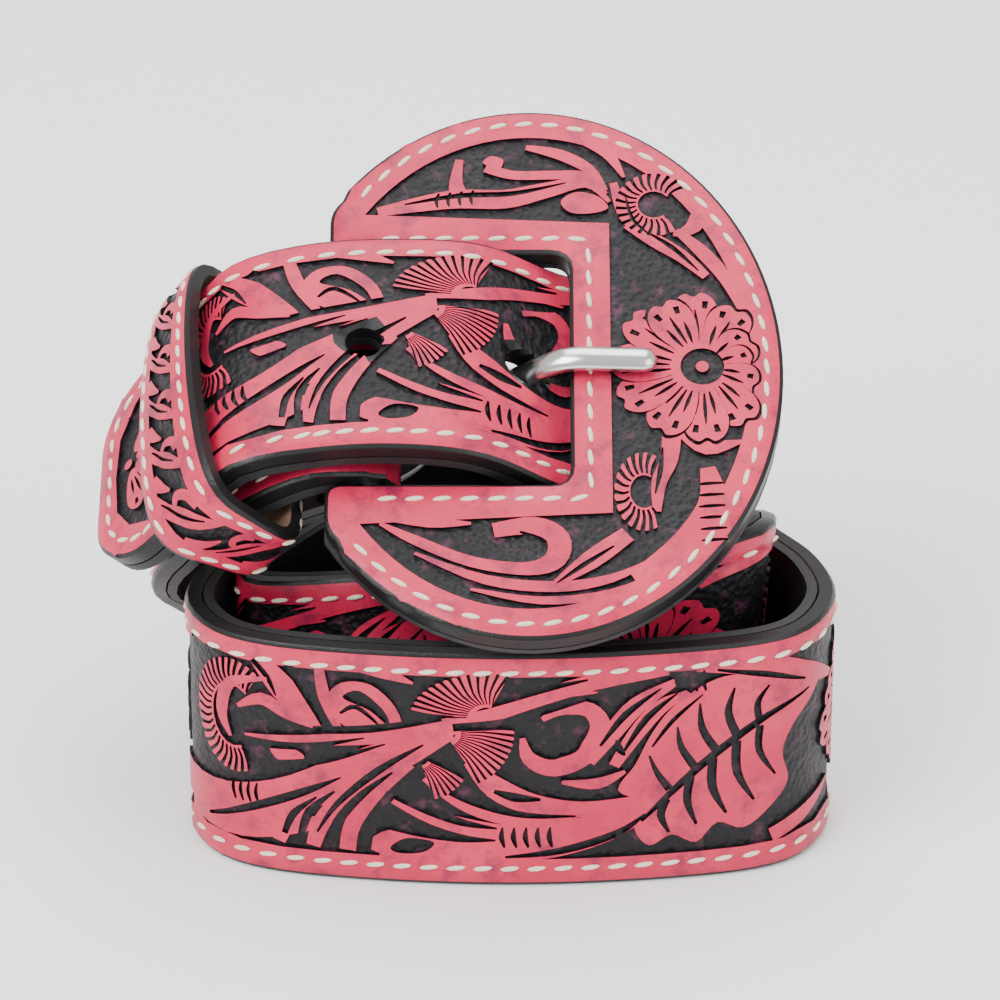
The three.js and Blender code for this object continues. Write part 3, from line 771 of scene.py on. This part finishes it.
cut_angle = math.degrees(math.acos((plate_cut - plate_centre) / plate_radii[0]))
arm_high = plate_radii[1] * math.sin(math.radians(cut_angle))
plate_outline = np.array(
    oval(plate_radii, 6 - cut_angle, cut_angle - 6, 3)
    + corner((plate_cut, arm_high), (plate_cut + 4, arm_high + 4), (plate_cut, 0), 2.5)
    + corner((plate_cut, slot_half), (plate_cut, 40), (0, slot_half), 2.5)
    + line((plate_cut + 4, slot_half), (slot_edge - 4.5, slot_half))
    + corner((slot_edge, slot_half), (-10, slot_half), (slot_edge, 0), 3)
    + line((slot_edge, slot_half - 4.5), (slot_edge, 4.5 - slot_half))
    + corner((slot_edge, -slot_half), (slot_edge, 0), (-10, -slot_half), 3)
    + line((slot_edge - 4.5, -slot_half), (plate_cut + 4, -slot_half))
    + corner((plate_cut, -slot_half), (0, -slot_half), (plate_cut, -40), 2.5)
    + corner((plate_cut, -arm_high), (plate_cut, 0), (plate_cut + 4, -arm_high - 4), 2.5))
plate_shapes = [(1, np.array(oval((32.2, 41.3), -139, 139, 4) + [(6.3, 25.6), (6.3, -25.2)]))]
plate_shapes += strokes(0, (
    ([(-15.9, 37.2), (-16.4, 33), (-15.8, 30)], [1.2, 2.0, 3.2]),
    ([(-28, 27.6), (-21, 29.2), (-15.8, 30), (-9, 30), (-3, 31.6), (3, 33), (6.4, 29.5)],
     [1.6, 2.8, 3.4, 3.4, 2.8, 1.8, 0.6]),
    ([(-12, 35.8), (-8, 34.4), (-2, 34.4), (3, 34.2), (6, 31)], [1.8, 1.6, 1.6, 1.4, 0.5]),
    ([(-6, 39.5), (-1, 38.2), (3.4, 35.5), (6, 31.6)], [0.9, 1.9, 1.7, 0.5]),
    ([(1, 41.4), (6, 38.6), (8.6, 34)], [0.8, 1.9, 0.5]),
    ([(7, 33), (8.6, 27), (12, 22.8)], [1.2, 1.8, 1.4]),
    ([(9, 25.5), (13, 22.5), (17, 19.6), (20.5, 16)], [1.8, 2.4, 2.2, 1.4]),
    ([(16, 24.5), (20, 20.4), (23.4, 15.5), (26, 9)], [1.0, 2.2, 2.0, 1.0]),
    ([(15, -11), (14.5, -16), (13, -20), (12.6, -25)], [2.8, 2.6, 2.2, 1.2]),
    ([(16, -11.5), (20, -14), (25, -13)], [1.0, 2.6, 0.6]),
    ([(20, -17.5), (20.6, -24), (16.6, -30.6), (9, -36)], [2.2, 4.4, 4.6, 1.6]),
    ([(8.4, -28.8), (3, -33.2), (-3.5, -38.3)], [2.6, 3.0, 0.4]),
    ([(-10.8, -28.2), (-5, -27.4), (-1.6, -29.5), (-2, -33), (-6, -34.6), (-14, -33.4), (-22, -29.8),
      (-27, -27)],
     [2.4, 3.0, 3.4, 3.2, 2.2, 1.8, 1.6, 0.6]),
    ([(-22, -32), (-12, -36.4), (-2, -37.6), (6, -36.2), (12, -33)], [0.5, 1.6, 1.8, 1.4, 0.5]),
    ([(-14, -38), (-4, -39.9), (6, -38.6), (14, -34.5)], [0.5, 1.3, 1.2, 0.4]),
    ([(-28, -25.6), (-20, -26.8), (-14, -27)], [1.0, 1.8, 0.5]),
))
plate_shapes += blobs(0, (
    [(-0.8, 29.6), (1.5, 31.3), (4.7, 30.5), (6.2, 28.4), (3.6, 27.4), (0.5, 27.6)],
    [(-12.4, 36.6), (-11.2, 37.9), (-9.4, 37.2), (-10, 35.6)],
))
plate_shapes += fan((13, 29), (2.4, 2.4), (5.4, 5.4), 36, 306, 18, 0.3)
plate_shapes += strokes(0, (([(17.8, 33), (20, 29), (18.8, 25), (15.8, 23.4)], [0.6, 2.4, 2.4, 0.5]),))
plate_shapes += fan((10.8, -21.6), (2.0, 2.8), (4.0, 6.4), 60, 300, 14, 0.3)
plate_shapes += flower((19.6, 0), [(a, r, 6.4) for a, r in (
    (95, 13), (62, 11.5), (32, 8.6), (4, 7.4), (-26, 8.4), (-56, 11.5), (-88, 13), (-120, 13), (-153, 13.4),
    (176, 13.2), (141, 13.6), (118, 12.6))], 3.2)
plate_shapes += strokes(1, (
    ([(-24, 29), (-16, 30.6), (-8, 31), (0, 33)], [0.3, 0.9, 0.9, 0.2]),
    ([(8.8, 30.6), (9.8, 26.4), (12.4, 23.4)], [0.2, 0.6, 0.2]),
    ([(11.6, 24.2), (15.6, 21.2), (19.4, 17)], [0.2, 0.8, 0.2]),
    ([(-7, -28.4), (-3.6, -30.2), (-5, -32.6), (-12, -32.2), (-20, -29.6)], [0.4, 1.0, 0.9, 0.7, 0.2]),
    ([(13.6, -14), (13.2, -18), (12.4, -22)], [0.2, 0.8, 0.2]),
    ([(6.4, -30.8), (2, -34), (-1.8, -37)], [0.3, 0.8, 0.2]),
))
plate_shapes += bars((18.4, -20.4), (0.1, -1.9), 6, (3.8, 0.3), 0.6)
plate_shapes += bars((-14, 29), (-1.7, -0.2), 4, (0.2, 2.6), 0.6)
plate_grid = [(u, v) for u in np.arange(-32, 30, 4.0) for v in np.arange(-44, 45, 4.0)]
cover_top = 2.0 * mm
cover_under = -0.7 * mm
cover = carve("buckle_face", plate_outline, [], plate_shapes, plate_grid, plate_at, cover_top, cover_under)
cover.data.materials.append(tooled_leather)
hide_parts("buckle_cover")
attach(cover, "root")

# The backing: thin black leather cut to the plate's outline and glued behind the metal. It keeps
# its CAD shape and takes the lining's leather.
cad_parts["buckle_backing"].material_slots[0].material = black_leather

# The bar and the prong: nickel-plated steel. The bar keeps its CAD shape, and the prong is one rod
# with its end bent round the bar and a rounded tip.
nickel_finish = Finish("nickel")
nickel_wear = nickel_finish.noise(240, 4)
nickel_bright = (0.72, 0.71, 0.69, 1)
nickel_dull = (0.55, 0.54, 0.53, 1)
nickel = nickel_finish.finish(
    Base_Color=nickel_finish.mix(nickel_finish.steps(nickel_wear, 0.3, 0.75), nickel_bright, nickel_dull),
    Metallic=1.0,
    Roughness=0.14 + nickel_wear * 0.14,
    Normal=nickel_finish.bump(nickel_wear, 0.12, 0.0002),
)
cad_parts["buckle_bar"].material_slots[0].material = nickel
hook_radius = 3.6
prong_points = [(bar_u / mm + hook_radius * math.cos(a), bar_n / mm + hook_radius * math.sin(a))
                for a in np.radians(np.arange(80, 311, 23))]
on_face = 3.6
prong_points += [(-22, -5.5), (-11, -3.2), (-7, -1), (-2.2, on_face - 0.8), (1.2, on_face + 0.4),
                 (6, on_face + 0.3), (13, on_face)]
path = smooth(prong_points, step=6)
rate = np.gradient(path, axis=0)
rate /= np.linalg.norm(rate, axis=1, keepdims=True)
sides = 20
prong_half = (2.0, 1.3)
tip_points = 14
tip_reach = 1.7
prong_verts, prong_faces = [], []
for i, ((u, n), (du, dn)) in enumerate(zip(path, rate)):
    near_tip = len(path) - 1 - i < tip_points
    reach = np.linalg.norm(path[-1] - path[i]) if near_tip else tip_reach
    thin = math.sqrt(max(0.04, 1 - max(0, 1 - reach / tip_reach) ** 2))
    for k in range(sides):
        a = 2 * math.pi * k / sides
        wide, high = prong_half[0] * thin * math.cos(a), prong_half[1] * thin * math.sin(a)
        prong_verts.append(((u - dn * high) * mm, wide * mm, (n + du * high) * mm))
for i in range(len(path) - 1):
    for k in range(sides):
        a, b = i * sides + k, i * sides + (k + 1) % sides
        prong_faces.append((a, a + sides, b + sides, b))
prong_faces.append(tuple(range(sides)))
prong_faces.append(tuple(reversed(range(len(prong_verts) - sides, len(prong_verts)))))
prong_verts = np.array(prong_verts)
prong_mesh = bpy.data.meshes.new("prong_tongue")
prong_mesh.from_pydata([tuple(p) for p in plate_at(*prong_verts.T)[0]], [], prong_faces)
checked = bmesh.new()
checked.from_mesh(prong_mesh)
bmesh.ops.recalc_face_normals(checked, faces=checked.faces)
checked.to_mesh(prong_mesh)
checked.free()
prong_mesh.shade_smooth()
prong = bpy.data.objects.new("prong_tongue", prong_mesh)
prong_mesh.materials.append(nickel)
bpy.context.scene.collection.objects.link(prong)
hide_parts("prong")
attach(prong, "root")

# The stitches: waxed ivory thread, sewn in seams a little inside the edges of the strap, the keeper
# and the buckle's cover, each stitch slanted to its seam.
thread_finish = Finish("thread")
twist = thread_finish.node("ShaderNodeTexWave", {},
                           {"Vector": thread_finish.place, "Scale": 900.0, "Distortion": 2.0}, "Fac")
thread = thread_finish.finish(
    Base_Color=thread_finish.mix(twist, (0.86, 0.76, 0.62, 1), (0.72, 0.6, 0.46, 1)),
    Roughness=0.75 + twist * 0.1,
    Normal=thread_finish.bump(twist, 0.5, 0.0002),
)
seam = bpy.data.node_groups.new("seam", "GeometryNodeTree")
seam.interface.new_socket("Geometry", in_out="INPUT", socket_type="NodeSocketGeometry")
seam.interface.new_socket("Geometry", in_out="OUTPUT", socket_type="NodeSocketGeometry")


def seam_node(kind, settings, inputs):
    made = seam.nodes.new(kind)
    for key, value in settings.items():
        setattr(made, key, value)
    for key, value in inputs.items():
        if isinstance(value, bpy.types.NodeSocket):
            seam.links.new(value, made.inputs[key])
        else:
            made.inputs[key].default_value = value
    return made


stitch_size = (0.0029, 0.0008, 0.0007)
seam_start = seam_node("NodeGroupInput", {}, {})
seam_along = seam_node("GeometryNodeInputNamedAttribute", {"data_type": "FLOAT_VECTOR"}, {"Name": "along"})
seam_out = seam_node("GeometryNodeInputNamedAttribute", {"data_type": "FLOAT_VECTOR"}, {"Name": "out"})
seam_turn = seam_node("FunctionNodeAxesToRotation", {}, {
    "Primary Axis": seam_out.outputs["Attribute"], "Secondary Axis": seam_along.outputs["Attribute"]})
seam_stitch = seam_node("GeometryNodeMeshUVSphere", {}, {"Segments": 8, "Rings": 6, "Radius": 0.5})
seam_copies = seam_node("GeometryNodeInstanceOnPoints", {}, {
    "Points": seam_start.outputs[0], "Instance": seam_stitch.outputs["Mesh"],
    "Rotation": seam_turn.outputs["Rotation"], "Scale": stitch_size})
seam_real = seam_node("GeometryNodeRealizeInstances", {}, {"Geometry": seam_copies.outputs["Instances"]})
seam_thread = seam_node("GeometryNodeSetMaterial", {}, {
    "Geometry": seam_real.outputs["Geometry"], "Material": thread})
seam_node("NodeGroupOutput", {}, {0: seam_thread.outputs["Geometry"]})


def sew(name, paths, place, height, pitch=3.85, slant=7):
    """Stitches at an even pitch along paths drawn in a piece's flat coordinates."""
    points, alongs, outs = [], [], []
    for drawn in paths:
        drawn = np.array(drawn, float)
        run = np.concatenate([[0], np.cumsum(np.linalg.norm(np.diff(drawn, axis=0), axis=1))])
        count = max(1, round(run[-1] / pitch))
        middles = (np.arange(count) + 0.5) * run[-1] / count
        x, y = (np.interp(middles, run, drawn[:, k]) for k in (0, 1))
        ahead, behind = (np.stack([np.interp(middles + d, run, drawn[:, k]) for k in (0, 1)], 1)
                         for d in (0.5, -0.5))
        lean = np.arctan2(*(ahead - behind).T[::-1]) + math.radians(slant)
        point, ex, ey, out = place(x * mm, y * mm, np.full(count, height))
        points.append(point)
        alongs.append(ex * np.cos(lean)[:, None] + ey * np.sin(lean)[:, None])
        outs.append(out)
    mesh = bpy.data.meshes.new(name + "_points")
    mesh.from_pydata([tuple(p) for p in np.concatenate(points)], [], [])
    for key, values in (("along", alongs), ("out", outs)):
        attribute = mesh.attributes.new(key, "FLOAT_VECTOR", "POINT")
        attribute.data.foreach_set("vector", np.concatenate(values).astype(np.float32).ravel())
    holder = bpy.data.objects.new(name, mesh)
    bpy.context.scene.collection.objects.link(holder)
    modifier = holder.modifiers.new("seam", "NODES")
    modifier.node_group = seam
    ready = holder.evaluated_get(bpy.context.evaluated_depsgraph_get())
    holder.data = bpy.data.meshes.new_from_object(ready)
    holder.modifiers.remove(modifier)
    holder.data.shade_smooth()
    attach(holder, "root")
    return holder


edge_inset = 2.85
seam_w = half - edge_inset
seam_round = tip_corner - edge_inset
tip_seam = [(tip_corner - seam_round * math.sin(a), (half - tip_corner) + seam_round * math.cos(a))
            for a in np.radians(np.arange(0, 91, 10))]
seam_end = tab_at - 6
strap_seam = [(seam_end, seam_w), *tip_seam, *[(s, -w) for s, w in tip_seam[::-1]], (seam_end, -seam_w)]
sew("strap_stitches", [strap_seam], belt_at, strap_thickness / 2)
keeper_seams = [[(3, h), (ring_end - 3, h)] for h in (1.5, keeper_width - 1.5)]
sew("keeper_stitches", keeper_seams, keeper_at, keeper_wall, 3.4)
slot_seam = [(-28, 22.8), (1.2, 22.8), (2.6, 22.4), (3.2, 21)]
slot_seam += [(u, -v) for u, v in slot_seam[::-1]]
sew("buckle_stitches", [oval((34.6, 43.8), -137, 137, 3), slot_seam], plate_at, cover_top, 3.9)
